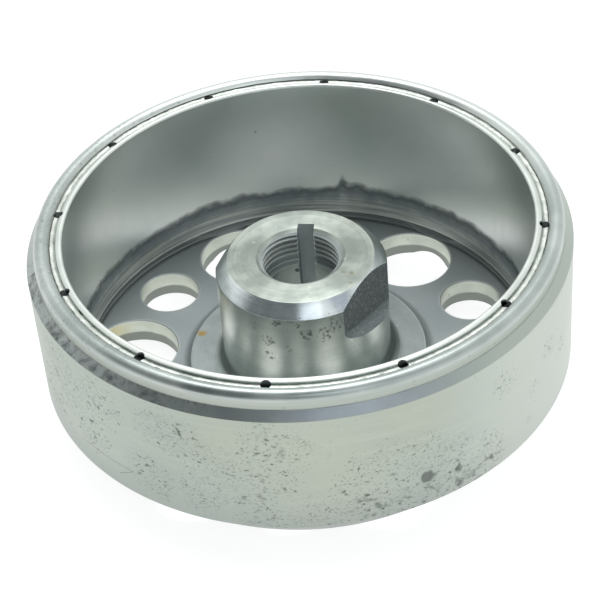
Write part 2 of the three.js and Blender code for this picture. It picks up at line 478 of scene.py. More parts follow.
def new_effect(name, output, inputs):
    """A node group with its named inputs and its one output, ready to be filled."""
    tree = bpy.data.node_groups.new(name, "ShaderNodeTree")
    for socket_name, default in inputs.items():
        kind = "NodeSocketVector" if isinstance(default, tuple) else "NodeSocketFloat"
        socket = tree.interface.new_socket(socket_name, in_out="INPUT", socket_type=kind)
        socket.default_value = default
    tree.interface.new_socket(output, in_out="OUTPUT", socket_type="NodeSocketFloat")
    effect = Nodes(tree)
    given = effect.add("NodeGroupInput").outputs
    result = effect.add("NodeGroupOutput").inputs[0]
    return effect, given, result


def make_tool_lines():
    """Fine rings left by a lathe or grinder, drifting a little round the axis."""
    effect, given, result = new_effect("tool_lines", "Lines",
                                       {"Lines Per Metre": 3000.0, "Drift": 20.0})
    density = given["Lines Per Metre"]
    drift = given["Drift"]
    across = effect.plus(effect.times(effect.radius, density), effect.times(effect.x, drift))
    place = effect.joined(across, effect.times(effect.y, drift), effect.times(effect.z, density))
    effect.feed(result, effect.noise(place, 1.0, 3.0, 0.6))
    return effect.tree


def make_flecks():
    """Small ragged spots, such as corrosion pits. Amount runs from 0, none, to 1, dense."""
    effect, given, result = new_effect("flecks", "Mask", {
        "Scale": 600.0, "Amount": 0.2, "Softness": 0.05, "Squash": 1.0, "Seed": 0.0,
    })
    place = effect.joined(
        effect.plus(effect.x, given["Seed"]),
        effect.plus(effect.y, given["Seed"]),
        effect.times(effect.z, given["Squash"]),
    )
    grain = effect.noise(place, given["Scale"], 4.0, 0.55)
    rarest, reach = 0.82, 0.42          # the noise levels above which spots start and spread
    limit = effect.minus(rarest, effect.times(given["Amount"], reach))
    effect.feed(result, effect.over(effect.minus(grain, limit), given["Softness"], clamp=True))
    return effect.tree


def make_patch():
    """A blob round one spot: 1 in the middle, falling to 0 at its reach."""
    effect, given, result = new_effect("patch", "Mask", {
        "Point": (0, 0, 0), "Centre": (0, 0, 0), "Reach": 0.01,
    })
    away = effect.vector("DISTANCE", given["Point"], given["Centre"], "Value")
    effect.feed(result, effect.minus(1.0, effect.over(away, given["Reach"]), clamp=True))
    return effect.tree


def make_scratch():
    """A straight fine scratch on the outer wall, between two places given as run and height."""
    effect, given, result = new_effect("scratch", "Mask", {
        "From": (0, 0, 0), "To": (0, 0, 0), "Width": 0.1 * MM,
    })
    run_round = effect.times(effect.maths("ARCTAN2", effect.y, effect.x), CUP_RADIUS)
    here = effect.joined(run_round, effect.z)
    run = effect.vector("SUBTRACT", given["To"], given["From"])
    offset = effect.vector("SUBTRACT", here, given["From"])
    reach = effect.vector("DOT_PRODUCT", offset, run, "Value")
    whole = effect.vector("DOT_PRODUCT", run, run, "Value")
    nearest = effect.vector("SCALE", run, effect.over(reach, whole, clamp=True))
    away = effect.vector("DISTANCE", offset, nearest, "Value")
    effect.feed(result, effect.minus(1.0, effect.over(away, given["Width"]), clamp=True))
    return effect.tree


def make_hole_rim_highlights():
    """A painted highlight on the worn upper rims of the web's holes, which repeat every sixth of a
    turn.
    """
    effect, given, result = new_effect("hole_rim_highlights", "Mask", {"Width": 0.4 * MM})
    angle = effect.maths("ARCTAN2", effect.y, effect.x)
    step = math.tau / HOLES_PER_SET
    masks = []
    for hole in HOLE_SETS:
        turned = effect.minus(angle, math.radians(hole["first_angle"]))
        steps = effect.maths("ROUND", effect.over(turned, step))
        local = effect.minus(turned, effect.times(steps, step))
        across = effect.times(effect.radius, effect.maths("SINE", local))
        outward = effect.minus(effect.times(effect.radius, effect.maths("COSINE", local)),
                               hole["pitch"])
        rim = hole["radius"] + 0.1 * MM
        off = effect.maths("ABSOLUTE", effect.minus(effect.length(across, outward), rim))
        masks.append(effect.minus(1.0, effect.over(off, given["Width"]), clamp=True))
    upper = effect.between(effect.z, WEB_TOP - 0.7 * MM, WEB_TOP - 0.3 * MM)
    effect.feed(result, effect.times(effect.most(*masks), upper))
    return effect.tree


def make_clouds():
    """Slow changes of tone over the surface, from 0 to 1."""
    effect, given, result = new_effect("clouds", "Mask", {"Scale": 40.0, "Contrast": 2.0})
    grain = effect.noise(effect.point, given["Scale"], 4.0)
    spread = effect.times(effect.minus(grain, 0.5), given["Contrast"])
    effect.feed(result, effect.maths("ADD", spread, 0.5, clamp=True))
    return effect.tree


TOOL_LINES = make_tool_lines()
FLECKS = make_flecks()
PATCH = make_patch()
SCRATCH_LINE = make_scratch()
CLOUDS = make_clouds()
HOLE_RIM_HIGHLIGHTS = make_hole_rim_highlights()

# ---------------------------------------------------------------- materials

GRIME = (0.075, 0.088, 0.085)           # the colour of a corroded spot on ground steel
FINE_GRAIN = 0.01 * MM                  # the depth of tool marks

# A bent scratch on the outer wall: the angle and height of its start, its tip and its end.
SCRATCH = ((225.2, 20.7), (239.6, 20.9), (235.5, 18.0))

# Places on the outer wall where corrosion has run together: angle, height and reach in mm.
WALL_BLOTS = (
    (289, 18.5, 9), (296, 17, 9), (303, 17.5, 9), (308, 19, 8), (312, 16, 8), (316, 20.5, 7),
    (307, 27, 5), (296, 27, 4), (266.6, 23, 5), (268, 30, 4), (252, 34, 5), (272, 37, 4),
)

# Places on the outer wall where corrosion has started: angle, height and reach in mm.
WALL_WEAR = (
    (219, 36, 15), (231, 37.5, 13), (247, 39, 9), (252, 36.5, 10), (256, 34, 10), (264.5, 31, 10),
    (269, 40, 9), (275, 38, 9), (266.6, 23, 8), (271, 29, 9), (256, 22.5, 10), (245, 22.5, 10),
    (289, 23.5, 14), (296, 18, 16), (305.8, 17, 15), (312, 15.5, 12), (305, 23, 13), (301, 29, 10),
    (316, 18.6, 9), (316, 23.5, 6), (307, 27.3, 8), (294, 31, 9), (288, 28, 10), (329, 20, 2.5),
    (279, 16, 12), (268, 16, 10), (212, 26, 12), (228, 26, 10),
    (337, 35, 5), (331, 28, 4), (321, 38, 6), (344, 30, 5),
    (40, 30, 16), (75, 22, 14), (120, 36, 18), (150, 20, 12),
)

# Pitted places on the side of the hub: angle, height and reach in mm.
HUB_PITS = (
    (292, 32.4, 4), (299.6, 34, 3.5), (279, 32.5, 3), (273, 36, 2.5), (260, 36, 2),
    (254, 30, 3), (253.6, 25.4, 2), (266, 28, 2), (310, 34.5, 4),
)


def ground_wall():
    """The outer wall: ground, pale, and spotted with corrosion where it has been handled."""
    wall = Finish("ground_wall")
    lines = wall.tool_lines(5200.0, 26.0)
    wall.base(wall.clouds(34.0, 2.6), (0.395, 0.44, 0.40), (0.47, 0.515, 0.465))
    wall.coat(wall.between(wall.tool_lines(420.0, 30.0), 0.45, 0.7), (0.46, 0.51, 0.455))
    wall.coat(lines, (0.35, 0.395, 0.355), 0.3)
    # Painted shade: the wall darker towards its foot, where it turns under towards the rear
    # chamfer.
    wall.coat(wall.between(wall.z, 24 * MM, WALL_FOOT), (0.39, 0.43, 0.40))
    # Painted light: the right (+X) side of the wall paler, where more light falls on it.
    wall.coat(wall.between(wall.x, 30 * MM, 60 * MM), (0.56, 0.6, 0.555), 0.75)
    ragged = wall.ragged_point()
    warm = wall.worn_area(ragged, ((281, 36, 26), (298, 42, 18), (262, 40, 14)))
    wall.coat(warm, (0.51, 0.51, 0.40), 0.32)

    crowd = wall.between(wall.worn_area(ragged, WALL_WEAR), 0.0, 0.6)
    dust = wall.flecks(1500.0, wall.mix(crowd, 0.38, 0.64), 0.12, 1.5)
    pits = wall.flecks(640.0, wall.mix(crowd, 0.28, 0.52), 0.1, 1.4, 3.0)
    thick = wall.between(wall.worn_area(ragged, WALL_BLOTS), 0.0, 0.7)
    blots = wall.flecks(330.0, wall.mix(thick, 0.2, 0.68), 0.16, 1.3, 5.0)
    stain = wall.between(wall.worn_area(ragged, ((301.5, 22.2, 2.0),)), 0.0, 0.35)
    stain = wall.times(stain, wall.mix(wall.flecks(900.0, 0.8, 0.5), 0.6, 0.78))
    start, tip, end = [(math.radians(angle - 360) * CUP_RADIUS, height * MM, 0)
                       for angle, height in SCRATCH]
    cuts = wall.most(wall.use(SCRATCH_LINE, From=start, To=tip, Width=0.16 * MM),
                     wall.use(SCRATCH_LINE, From=tip, To=end, Width=0.13 * MM))
    spots = wall.most(wall.times(dust, 0.45), wall.times(pits, 0.68), wall.times(blots, 0.72),
                      stain, wall.times(cuts, 0.55))
    wall.coat(spots, GRIME)
    roughness = wall.mix(spots, wall.mix(lines, 0.36, 0.5), 0.75)
    return wall.surface(roughness, wall.minus(lines, wall.times(spots, 2.0)), FINE_GRAIN, 0.7)


def dark_chamfer():
    """The front chamfer: turned, darker than the wall, and freckled all along one side."""
    chamfer = Finish("dark_chamfer")
    point = chamfer.point
    lines = chamfer.tool_lines(3800.0, 30.0)
    chamfer.base(chamfer.clouds(70.0, 3.0), (0.36, 0.39, 0.385), (0.46, 0.5, 0.49))
    blued = chamfer.worn_area(point, ((297, 47, 34),))
    chamfer.coat(chamfer.between(blued, 0.0, 0.5), (0.40, 0.435, 0.465))
    chamfer.coat(chamfer.clouds(190.0, 3.0), (0.27, 0.295, 0.3), 0.3)
    pale = chamfer.most(
        chamfer.between(chamfer.x, 24 * MM, 48 * MM),
        chamfer.between(chamfer.y, -20 * MM, 5 * MM),
    )
    chamfer.coat(pale, (0.47, 0.515, 0.475))
    freckled = chamfer.worn_area(point, ((212, 47, 30), (232, 47, 26), (246, 47, 22)))
    freckled = chamfer.between(freckled, 0.0, 0.5)
    blots = chamfer.flecks(520.0, chamfer.mix(freckled, 0.3, 0.86), 0.25, 0.8, 7.0)
    dust = chamfer.flecks(1400.0, chamfer.mix(freckled, 0.3, 0.6), 0.12, seed=4.0)
    spots = chamfer.most(chamfer.times(blots, 0.75), chamfer.times(dust, 0.6))
    chamfer.coat(spots, GRIME)
    roughness = chamfer.mix(spots, chamfer.mix(lines, 0.34, 0.46), 0.7)
    return chamfer.surface(roughness, lines, FINE_GRAIN, 0.6)


def neck_steel():
    """The neck between chamfer and bead: pale, with painted shade in the corner at its foot."""
    neck = Finish("neck_steel")
    lines = neck.tool_lines(4200.0, 24.0)
    neck.base(lines, (0.52, 0.56, 0.51), (0.42, 0.46, 0.42))
    neck.coat(neck.flecks(800.0, 0.42, 0.14, seed=2.0), (0.12, 0.14, 0.12), 0.6)
    # Painted shade: a dark line in the corner where the neck meets the chamfer.
    corner = neck.between(neck.z, NECK_FOOT + 0.3 * MM, NECK_FOOT)
    corner = neck.times(corner, neck.mix(neck.clouds(150.0, 3.0), 0.35, 0.8))
    neck.coat(corner, (0.1, 0.115, 0.11))
    return neck.surface(neck.mix(lines, 0.36, 0.5), lines, FINE_GRAIN)


def rolled_bead():
    """The rolled rim: burnished by the rolling tool, then scuffed in use."""
    bead = Finish("rolled_bead")
    lines = bead.tool_lines(2600.0, 18.0)
    tone = bead.clouds(90.0, 3.0)
    bead.base(tone, (0.41, 0.455, 0.44), (0.55, 0.59, 0.57))
    # Painted highlight: the back (+Y) part of the bead paler, where it reflects the bright room.
    bead.coat(bead.between(bead.y, 5 * MM, 50 * MM), (0.74, 0.78, 0.75))
    freckled = bead.between(bead.x, -10 * MM, -50 * MM)
    dust = bead.flecks(1100.0, bead.mix(freckled, 0.36, 0.6), 0.15, seed=5.0)
    blots = bead.flecks(420.0, bead.mix(freckled, 0.2, 0.55), 0.3, seed=2.0)
    spots = bead.most(bead.times(dust, 0.5), bead.times(blots, 0.45))
    bead.coat(spots, (0.14, 0.16, 0.155))
    roughness = bead.mix(bead.most(tone, spots), bead.mix(lines, 0.24, 0.32), 0.42)
    return bead.surface(roughness, lines, FINE_GRAIN, 0.5)


def matt_web():
    """The web: shot-blasted gunmetal grey, with tiny painted glints and a little rust."""
    web = Finish("matt_web", metallic=0.6)
    grain = web.flecks(1500.0, 0.5, 0.3, seed=1.0)
    tone = web.clouds(45.0, 2.2)
    web.base(tone, (0.37, 0.405, 0.412), (0.49, 0.523, 0.523))
    # Painted glints: tiny white specks where the blasted surface sparkles.
    web.coat(web.flecks(1300.0, 0.27, 0.06, seed=9.0), (0.9, 0.95, 0.95))
    rims = web.use(HOLE_RIM_HIGHLIGHTS, Width=0.55 * MM)
    # Painted highlight: a pale ring on the worn upper rim of each hole.
    web.coat(web.times(rims, web.mix(tone, 0.9, 0.4)), (0.86, 0.9, 0.86))
    # Painted shade: the web darkened next to the step at its outer edge.
    web.coat(web.between(web.radius, WEB_EDGE - 0.9 * MM, WEB_EDGE), (0.12, 0.135, 0.13), 0.6)
    rust = web.worn_area(web.ragged_point(900.0), ((169.7, 9.4, 1.5),), 28.4 * MM)
    web.coat(web.between(rust, 0.0, 0.6), (0.5, 0.27, 0.06), 0.85)
    return web.surface(web.mix(grain, 0.5, 0.68), grain, 0.03 * MM, 0.5)


def drilled_wall():
    """The walls of the web's holes: reamed, pale, with a yellow stain in places and painted shade
    low down.
    """
    hole = Finish("drilled_wall")
    streaks = hole.streaks((300, 300, 2600), 3.0)
    hole.base(hole.clouds(120.0, 2.6), (0.5, 0.54, 0.48), (0.68, 0.72, 0.63))
    yellow = hole.worn_area(hole.ragged_point(), ((174, 6.8, 9), (10, 7, 7)), 54 * MM)
    hole.coat(yellow, (0.66, 0.6, 0.3))
    # Painted shade: the lower part of each hole wall, which the near edge keeps from the light.
    level = hole.plus(hole.z, hole.times(streaks, 0.8 * MM))
    hole.coat(hole.between(level, 5.4 * MM, 4.8 * MM), (0.19, 0.21, 0.195), 0.85)
    # Painted highlight: the worn upper rims of the holes paler.
    hole.coat(hole.use(HOLE_RIM_HIGHLIGHTS, Width=0.8 * MM), (0.86, 0.89, 0.84), 0.8)
    hole.coat(hole.flecks(700.0, 0.36, 0.1, seed=4.0), (0.1, 0.11, 0.1), 0.7)
    return hole.surface(hole.mix(streaks, 0.38, 0.55), streaks, 0.02 * MM, 0.5)


def rear_forging():
    """The back: as forged and oiled, duller than the ground wall."""
    rear = Finish("rear_forging")
    scale = rear.flecks(420.0, 0.5, 0.3, seed=6.0)
    rear.base(rear.clouds(60.0, 2.6), (0.22, 0.24, 0.235), (0.33, 0.355, 0.34))
    rear.coat(scale, (0.13, 0.14, 0.14), 0.4)
    height = rear.plus(rear.tool_lines(2200.0, 16.0), scale)
    return rear.surface(rear.mix(scale, 0.42, 0.6), height, 0.03 * MM, 0.5)


def turned_hub(name, pale, dark, smoothest, roughest, brushed=0.0):
    """A turned face of the hub, with faint tool rings, small pits and a few rust freckles."""
    hub = Finish(name)
    if brushed:
        hub.brush_round(brushed)
    lines = hub.tool_lines(3400.0, 22.0)
    broad = hub.tool_lines(700.0, 12.0)
    marks = hub.plus(hub.times(broad, 0.45), hub.times(hub.clouds(210.0, 3.0), 0.25))
    marks = hub.plus(marks, hub.times(hub.plus(lines, hub.clouds(55.0, 2.4)), 0.2))
    hub.base(hub.between(marks, 0.3, 0.8), pale, dark)
    spots = hub.flecks(620.0, 0.28, 0.08, seed=8.0)
    hub.coat(spots, (0.12, 0.13, 0.12), 0.75)
    ragged = hub.ragged_point(900.0, 0.0014)
    worn = hub.between(hub.worn_area(ragged, HUB_PITS, HUB_RADIUS), 0.0, 0.7)
    pits = hub.flecks(1000.0, hub.mix(worn, 0.36, 0.79), 0.12, seed=3.5)
    bore_pit = hub.between(hub.worn_area(ragged, ((106, 28.8, 0.8),), 8.45 * MM), 0.0, 0.3)
    hub.coat(hub.most(hub.times(pits, 0.7), hub.times(bore_pit, 0.85)), (0.07, 0.075, 0.07))
    hub.coat(hub.flecks(620.0, 0.31, 0.08, 0.5, 12.0), (0.92, 0.94, 0.9))
    rust = hub.most(
        hub.worn_area(ragged, ((334.6, 40, 1.2),), 14.5 * MM),
        hub.worn_area(ragged, ((332, 40, 0.9),), 12.6 * MM),
        hub.worn_area(ragged, ((322.6, 40, 0.9),), 16.4 * MM),
    )
    hub.coat(hub.between(rust, 0.1, 0.8), (0.27, 0.22, 0.12), 0.6)
    drop = hub.worn_area(ragged, ((169.7, 9.85, 1.6),), 28.2 * MM)
    hub.coat(hub.between(drop, 0.0, 0.7), (0.42, 0.27, 0.05), 0.85)
    # Painted shade: darker in the fillet where the hub's side meets the flange.
    foot = hub.times(hub.between(hub.z, FLANGE_TOP + 7 * MM, FLANGE_TOP + MM),
                     hub.between(hub.radius, HUB_RADIUS + 3.4 * MM, HUB_RADIUS + 2 * MM))
    foot = hub.times(foot, hub.between(hub.z, 4 * MM, 8 * MM))
    hub.coat(foot, (0.3, 0.33, 0.33), 0.7)
    height = hub.minus(hub.plus(lines, broad), hub.times(spots, 1.5))
    return hub.surface(hub.mix(lines, smoothest, roughest), height, FINE_GRAIN, 0.7)


def forged_flat():
    """The wrench flats: charcoal mill scale, coarse, with bright grains in the runout."""
    flat = Finish("forged_flat", metallic=0.4)
    coarse = flat.flecks(1150.0, 0.75, 0.4, seed=2.5)
    fine = flat.flecks(2300.0, 0.6, 0.2, seed=5.5)
    flat.base(coarse, (0.17, 0.19, 0.195), (0.5, 0.545, 0.55))
    turn = math.radians(FLAT_ANGLES[0])
    outward = flat.plus(flat.times(flat.x, math.cos(turn)), flat.times(flat.y, math.sin(turn)))
    across = flat.minus(flat.times(flat.y, math.cos(turn)), flat.times(flat.x, math.sin(turn)))
    across = flat.times(across, flat.maths("SIGN", outward))
    level = flat.minus(flat.z, flat.times(across, math.tan(math.radians(FLAT_FOOT_SLOPE))))
    runout = flat.between(level, FLAT_FOOT, FLAT_FOOT - 0.5 * MM)
    flat.coat(runout, (0.42, 0.45, 0.46), 0.5)
    flat.coat(flat.times(fine, flat.mix(runout, 0.38, 0.95)), (0.8, 0.84, 0.84))
    return flat.surface(flat.mix(fine, 0.65, 0.45), flat.plus(coarse, fine), 0.12 * MM, 0.9)


def oily_thread():
    """The puller thread and relief: dark with old oil, paler on the crests."""
    thread = Finish("oily_thread", metallic=0.7)
    tone = thread.clouds(160.0, 2.6)
    thread.base(tone, (0.36, 0.395, 0.39), (0.5, 0.54, 0.53))
    crest = thread.between(thread.radius, THREAD_MINOR_RADIUS + 0.3 * MM, THREAD_MINOR_RADIUS)
    thread.coat(crest, (0.55, 0.6, 0.57), 0.4)
    return thread.surface(thread.mix(tone, 0.35, 0.5))


def keyway_steel():
    """The keyway: broached, so its marks run along the axis."""
    keyway = Finish("keyway_steel", metallic=0.5)
    keyway.base(keyway.clouds(180.0, 2.6), (0.4, 0.44, 0.45), (0.55, 0.6, 0.61))
    return keyway.surface(0.42, keyway.streaks((5200, 5200, 60), 3.0), 0.03 * MM, 0.6)


def cover_sheet():
    """The magnet cover: polished sheet with fine scuffs left by handling, and a hazier patch at
    the back with a painted highlight on it.
    """
    cover = Finish("cover_sheet")
    scuffs = cover.streaks((900, 900, 90), 4.0)
    cover.base(cover.clouds(38.0, 2.6), (0.64, 0.69, 0.67), (0.73, 0.77, 0.74))
    haze_and_highlight = cover.worn_area(cover.point, ((104, 31, 22),), COVER_BORE)
    # Painted highlight: a bright patch at the back of the sleeve, where it is also rougher.
    cover.coat(haze_and_highlight, (0.95, 0.97, 0.96), 0.8)
    cover.coat(cover.flecks(480.0, 0.25, 0.08, seed=6.5), (0.12, 0.13, 0.12), 0.6)
    # Painted shade: the sleeve darker towards the foot, deep in the cup.
    cover.coat(cover.between(cover.z, 26 * MM, 12 * MM), (0.4, 0.44, 0.44), 0.4)
    roughness = cover.mix(haze_and_highlight, cover.mix(scuffs, 0.26, 0.4), 0.6)
    return cover.surface(roughness, scuffs, FINE_GRAIN, 0.4)


def lip_sheet():
    """The rolled lip of the cover: bright on its crown, with painted shade on the slope outside it
    where it meets the ring.
    """
    lip = Finish("lip_sheet")
    tone = lip.clouds(110.0, 2.6)
    lip.base(tone, (0.72, 0.755, 0.72), (0.84, 0.87, 0.83))
    # Painted shade: the lip's outer slope darkened towards the gap at the ring.
    end = lip.between(lip.radius, RETAINER_BORE - 0.35 * MM, RETAINER_BORE)
    lip.coat(end, (0.4, 0.43, 0.41), 0.6)
    return lip.surface(lip.mix(tone, 0.34, 0.46), lip.tool_lines(2400.0, 20.0), FINE_GRAIN, 0.4)


def retainer_steel():
    """The retaining ring: grey, with a bright ragged crest and a painted shadow line under the
    bead.
    """
    ring = Finish("retainer_steel")
    tone = ring.clouds(260.0, 3.0)
    edge = ring.plus(ring.radius, ring.times(ring.clouds(700.0, 1.6), 0.5 * MM))
    ring.base(tone, (0.34, 0.37, 0.35), (0.5, 0.54, 0.5))
    bright = ring.blend(tone, (0.66, 0.69, 0.64), (0.86, 0.88, 0.83))
    ring.coat(ring.between(edge, 58.25 * MM, 58.5 * MM), bright)
    # Painted shadow: a dark line where the rolled bead overhangs the ring.
    ring.coat(ring.between(edge, 59.1 * MM, 59.3 * MM), (0.22, 0.235, 0.225), 0.6)
    ring.coat(ring.flecks(900.0, 0.4, 0.1, seed=1.5), (0.1, 0.11, 0.1), 0.7)
    return ring.surface(ring.mix(tone, 0.28, 0.42), tone, 0.06 * MM, 0.7)


def potting_resin():
    """The resin smeared round the foot of the cover: streaked, and worn to nothing at its top."""
    resin = Finish("potting_resin", metallic=0.0)
    rise = resin.add("ShaderNodeAttribute", attribute_name="rise").outputs["Fac"]
    tone = resin.clouds(110.0, 3.0)
    stripes = resin.tool_lines(1100.0, 34.0)
    resin.base(resin.between(stripes, 0.35, 0.68), (0.25, 0.285, 0.295), (0.56, 0.59, 0.55))
    resin.coat(tone, (0.26, 0.25, 0.19), 0.35)
    fringe = resin.plus(rise, resin.times(resin.clouds(330.0, 2.4), 0.14))
    resin.coat(resin.between(fringe, 0.36, 0.64), (0.17, 0.203, 0.217), 0.85)
    resin.coat(resin.between(rise, 0.085, 0.03), (0.66, 0.68, 0.64), 0.85)
    resin.feed(resin.shader.inputs["Alpha"], resin.between(fringe, 1.1, 0.62))
    return resin.surface(resin.mix(tone, 0.34, 0.52), stripes, 0.1 * MM, 0.4)


def sintered_magnet():
    """The magnets: dull and fine-grained."""
    magnet = Finish("sintered_magnet", metallic=0.2)
    grain = magnet.flecks(1200.0, 0.55, 0.3)
    magnet.base(grain, (0.27, 0.3, 0.325), (0.38, 0.41, 0.43))
    return magnet.surface(magnet.mix(grain, 0.55, 0.75), grain, 0.03 * MM)


def moulded_nylon():
    """The bars between the magnets and the ring that they stand on."""
    nylon = Finish("moulded_nylon", metallic=0.0)
    grain = nylon.clouds(500.0, 1.6)
    nylon.base(grain, (0.13, 0.145, 0.16), (0.19, 0.205, 0.22))
    return nylon.surface(nylon.mix(grain, 0.45, 0.6), grain, 0.02 * MM)


# ---------------------------------------------------------------- pieces


def build_cup():
    """The cup: outer wall, chamfers, neck, rolled rim and pierced web in one piece."""
    hub_bore = FLANGE_RADIUS + JOINT_GAP
    bead_centre = NECK_RADIUS - BEAD_RADIUS
    rise = math.degrees(math.asin(1 - (FLANGE_TOP - WEB_TOP) / FLANGE_FILLET))
    section = softened([
        (hub_bore, 0, 0.1 * MM),
        (REAR_PAD_RADIUS, 0, 0.5 * MM),
        (REAR_EDGE_RADIUS, REAR_EDGE, 1.2 * MM),
        (CUP_RADIUS, WALL_FOOT, 0.5 * MM),
        (CUP_RADIUS, WALL_TOP, 0.2 * MM),
        (NECK_RADIUS, NECK_FOOT, 0.12 * MM),
        *arc(bead_centre, BEAD_MIDDLE, BEAD_RADIUS, 0, BEAD_END_ANGLE, 24),
        (CAVITY_RADIUS, ring_high[2] + 0.1 * MM),
        (CAVITY_RADIUS, CAVITY_FOOT),
        (SEAT_RADIUS, SEAT_LEVEL),
        (STEP_RADIUS, SEAT_LEVEL, 0.15 * MM),
        (STEP_RADIUS, STEP_FOOT, 0.1 * MM),
        (WEB_EDGE, STEP_FOOT - 0.2 * MM, 0.1 * MM),
        (WEB_EDGE, WEB_TOP),
        *arc(hub_bore + FLANGE_FILLET, WEB_TOP + FLANGE_FILLET, FLANGE_FILLET, 270, 180 + rise, 6),
        (hub_bore, FLANGE_TOP),
    ])
    cup = as_object(revolve(section, CUP_STEPS), "rolled_cup")
    for hole in HOLE_SETS:
        tool = drill(hole["radius"], hole["pitch"], REAR_EDGE, WEB_TOP, HOLE_EDGE_BREAK, 96)
        subtract(cup, copied_round(tool, angles_round(HOLES_PER_SET, hole["first_angle"])))
    roughen_bead_edge(cup, bead_centre)

    wall, chamfer, neck, bead, web, hole_wall, rear = range(7)

    def zone(face):
        x, y, z = face.center
        r = math.hypot(x, y)
        for hole in HOLE_SETS:
            for angle in angles_round(HOLES_PER_SET, hole["first_angle"]):
                a = math.radians(angle)
                away = math.hypot(x - hole["pitch"] * math.cos(a), y - hole["pitch"] * math.sin(a))
                if away < hole["radius"] + 0.01 * MM and z < WEB_TOP - 0.1 * MM:
                    return hole_wall
        if z < WALL_FOOT - 0.2 * MM and face.normal.z < 0.3 and r > hub_bore + 0.5 * MM:
            return web if r < SEAT_RADIUS and z > SEAT_LEVEL - 2 * MM else rear
        if r < WEB_EDGE + MM or z < SEAT_LEVEL + MM:
            return web
        if z > BEAD_MIDDLE - 0.3 * MM:
            return bead
        if z > NECK_FOOT - 0.1 * MM:
            return neck
        if z > WALL_TOP + 0.05 * MM:
            return chamfer
        return wall

    finish_piece(
        cup, "rolled_cup", ["rotor_cup"],
        [ground_wall(), dark_chamfer(), neck_steel(), rolled_bead(), matt_web(),
         drilled_wall(), rear_forging()],
        zone,
    )


def roughen_bead_edge(cup, bead_centre):
    """Lets the rolled edge wander in and out a little, as sheet does when it is rolled over."""
    for vert in cup.data.vertices:
        r = math.hypot(vert.co.x, vert.co.y)
        if r > bead_centre - MM or vert.co.z < ring_high[2] + 0.05 * MM:
            continue
        angle = math.atan2(vert.co.y, vert.co.x)
        share = min(1, (bead_centre - MM - r) / (0.9 * MM))
        push_out(vert, (0.12 * wander(angle, 3.1, 9) + 0.07 * wander(angle, 8.7, 30)) * MM * share)


def thread_cutter():
    """A V groove wound up the bore: its section is swept along the helix and capped."""
    inner = THREAD_MINOR_RADIUS - 0.4 * MM
    half_mouth = THREAD_PITCH * 0.49
    half_root = THREAD_PITCH * 0.07
    foot = THREAD_FOOT - 0.9 * MM
    steps_per_turn = 120
    bm, line = outline([
        (inner, foot - half_mouth), (THREAD_MAJOR_RADIUS, foot - half_root),
        (THREAD_MAJOR_RADIUS, foot + half_root), (inner, foot + half_mouth),
    ])
    bmesh.ops.spin(
        bm, geom=line, cent=(0, 0, 0), axis=(0, 0, 1),
        dvec=(0, 0, THREAD_PITCH / steps_per_turn), angle=math.tau * THREAD_TURNS,
        steps=int(THREAD_TURNS * steps_per_turn), use_merge=False, use_duplicate=False,
    )
    bmesh.ops.holes_fill(bm, edges=[e for e in bm.edges if e.is_boundary], sides=0)
    bmesh.ops.recalc_face_normals(bm, faces=bm.faces)
    return bm


def flat_cutter(angle):
    """The tool that leaves one wrench flat, with a rounded runout at its foot."""
    reach = HUB_RADIUS + 3 * MM
    end_view = [
        (reach, HUB_TOP + 5 * MM),
        (FLAT_DISTANCE, HUB_TOP + 5 * MM),
        *arc(FLAT_DISTANCE + FLAT_RUNOUT, FLAT_FOOT, FLAT_RUNOUT, 180, FLAT_END_ANGLE, 12),
        (reach, FLAT_FOOT - FLAT_RUNOUT),
    ]
    bm = bmesh.new()
    length = 2 * HUB_RADIUS
    verts = [bm.verts.new((r, -length / 2, z)) for r, z in end_view]
    face = bm.faces.new(verts)
    grown = bmesh.ops.extrude_face_region(bm, geom=[face])
    moved = [g for g in grown["geom"] if isinstance(g, bmesh.types.BMVert)]
    bmesh.ops.translate(bm, vec=(0, length, 0), verts=moved)
    tilt = Matrix.Rotation(math.radians(FLAT_FOOT_SLOPE), 4, "X")
    pivot = Matrix.Translation((0, 0, FLAT_FOOT))
    turn = Matrix.Rotation(math.radians(angle), 4, "Z")
    bmesh.ops.transform(bm, matrix=turn @ pivot @ tilt @ pivot.inverted(), verts=bm.verts)
    bmesh.ops.recalc_face_normals(bm, faces=bm.faces)
    return bm


def keyway_cutter():
    """The broach: a bar with slightly rounded corners at the floor of the keyway."""
    bm = bmesh.new()
    bmesh.ops.create_cube(bm, size=1)
    height = HUB_TOP + 6 * MM
    bmesh.ops.scale(bm, vec=(KEYWAY_WIDTH, KEYWAY_FLOOR, height), verts=bm.verts)
    bmesh.ops.translate(bm, vec=(0, KEYWAY_FLOOR / 2, HUB_TOP / 2), verts=bm.verts)
    floor_edges = [e for e in bm.edges
                   if all(v.co.y > KEYWAY_FLOOR - MM for v in e.verts)
                   and abs(e.verts[0].co.z - e.verts[1].co.z) > height / 2]
    bmesh.ops.bevel(bm, geom=floor_edges, offset=0.25 * MM, segments=3, profile=0.5,
                    affect="EDGES", material=-1)
    return bm


